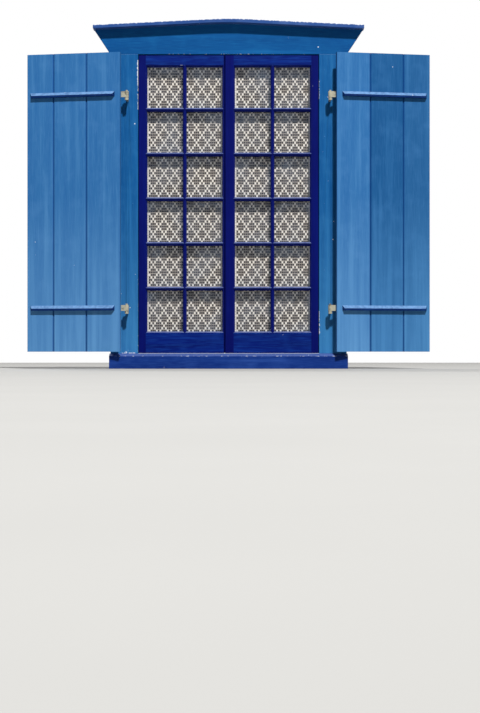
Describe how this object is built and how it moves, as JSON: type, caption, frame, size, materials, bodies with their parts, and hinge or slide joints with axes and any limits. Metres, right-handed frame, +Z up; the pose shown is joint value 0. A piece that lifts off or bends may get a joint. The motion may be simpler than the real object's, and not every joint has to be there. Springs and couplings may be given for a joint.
{
  "type": "casement window with shutters",
  "caption": "Cottage casement window in its painted timber frame, with inward-opening divided-light sashes, lace panels, a rod bolt and board shutters folded back on pintles.",
  "frame": {"origin": "middle of the sill's underside, in the plane of the casings' outdoor face", "axes": "+X to the right seen from outdoors, +Y into the room, +Z up"},
  "size_m": [2.1126, 0.1817, 1.8271],
  "materials": {
    "casing_paint": "worn blue oil paint",
    "cap_paint": "chipped blue oil paint",
    "sill_paint": "worn blue oil paint",
    "jamb_paint": "blue oil paint",
    "sash_paint": "dark blue oil paint",
    "shutter_paint": "brushed light blue paint",
    "putty": "painted linseed putty",
    "glass": "clear window glass",
    "forged_iron": "bare weathered iron",
    "steel": "dull zinc",
    "brass": "worn brass",
    "lace": "cotton crochet lace",
    "lining": "dark brown cotton"
  },
  "bodies": {
    "frame": {"bolt_keepers": "steel", "cap_board": "cap_paint", "head_board": "casing_paint", "head_jamb": "jamb_paint", "left_casing": "casing_paint", "left_frame_hinges": "steel", "left_jamb": "jamb_paint", "left_pintles": "forged_iron", "right_casing": "casing_paint", "right_frame_hinges": "steel", "right_jamb": "jamb_paint", "right_pintles": "forged_iron", "sill": "sill_paint"},
    "left_sash": {"bolt_case": "brass", "bolt_guides": "steel", "left_sash_bottom_rail": "sash_paint", "left_sash_curtain_rods": "steel", "left_sash_hinge_stile": "sash_paint", "left_sash_hinges": "steel", "left_sash_lace_panel": "lace", "left_sash_level_bars": "sash_paint", "left_sash_lining": "lining", "left_sash_meeting_stile": "sash_paint", "left_sash_panes": "glass", "left_sash_putty": "putty", "left_sash_top_rail": "sash_paint", "left_sash_upright_bar": "sash_paint"},
    "right_sash": {"right_sash_bottom_rail": "sash_paint", "right_sash_curtain_rods": "steel", "right_sash_hinge_stile": "sash_paint", "right_sash_hinges": "steel", "right_sash_lace_panel": "lace", "right_sash_level_bars": "sash_paint", "right_sash_lining": "lining", "right_sash_meeting_stile": "sash_paint", "right_sash_panes": "glass", "right_sash_putty": "putty", "right_sash_top_rail": "sash_paint", "right_sash_upright_bar": "sash_paint"},
    "left_shutter": {"left_shutter_free_board": "shutter_paint", "left_shutter_hinge_board": "shutter_paint", "left_shutter_lower_batten": "shutter_paint", "left_shutter_lower_strap": "forged_iron", "left_shutter_middle_board": "shutter_paint", "left_shutter_strap_screws": "forged_iron", "left_shutter_upper_batten": "shutter_paint", "left_shutter_upper_strap": "forged_iron"},
    "right_shutter": {"right_shutter_free_board": "shutter_paint", "right_shutter_hinge_board": "shutter_paint", "right_shutter_lower_batten": "shutter_paint", "right_shutter_lower_strap": "forged_iron", "right_shutter_middle_board": "shutter_paint", "right_shutter_strap_screws": "forged_iron", "right_shutter_upper_batten": "shutter_paint", "right_shutter_upper_strap": "forged_iron"},
    "bolt_turning_parts": {"bolt_handle": "brass", "bolt_pinion": "steel"},
    "upper_rod": {"bolt_upper_rod": "steel"},
    "lower_rod": {"bolt_lower_rod": "steel"}
  },
  "joints": [
    {"name": "left_sash_swing", "type": "hinge", "parent": "frame", "child": "left_sash", "pos_m": [-0.482, 0.0505, 0.8645], "axis": [0, 0, 1], "range_deg": [0, 100]},
    {"name": "right_sash_swing", "type": "hinge", "parent": "frame", "child": "right_sash", "pos_m": [0.482, 0.0505, 0.8645], "axis": [0, 0, -1], "range_deg": [0, 90]},
    {"name": "left_shutter_swing", "type": "hinge", "parent": "frame", "child": "left_shutter", "pos_m": [-0.531, -0.05205, 1.43], "axis": [0, 0, 1], "range_deg": [0, 189.5]},
    {"name": "right_shutter_swing", "type": "hinge", "parent": "frame", "child": "right_shutter", "pos_m": [0.531, -0.05205, 1.43], "axis": [0, 0, -1], "range_deg": [0, 189.5]},
    {"name": "bolt_turn", "type": "hinge", "parent": "left_sash", "child": "bolt_turning_parts", "pos_m": [-0.016, 0.053, 0.8645], "axis": [0, 1, 0], "range_deg": [0, 150]},
    {"name": "upper_rod_slide", "type": "slide", "parent": "left_sash", "child": "upper_rod", "axis": [0, 0, 1], "range_m": [0, 0.0157]},
    {"name": "lower_rod_slide", "type": "slide", "parent": "left_sash", "child": "lower_rod", "axis": [0, 0, -1], "range_m": [0, 0.0157]}
  ],
  "couplings": [
    {"joint": "right_sash_swing", "follows": "left_sash_swing", "ratio": 0.9},
    {"joint": "bolt_turn", "follows": "upper_rod_slide", "rad_per_m": 166.67},
    {"joint": "lower_rod_slide", "follows": "upper_rod_slide", "ratio": 1}
  ]
}
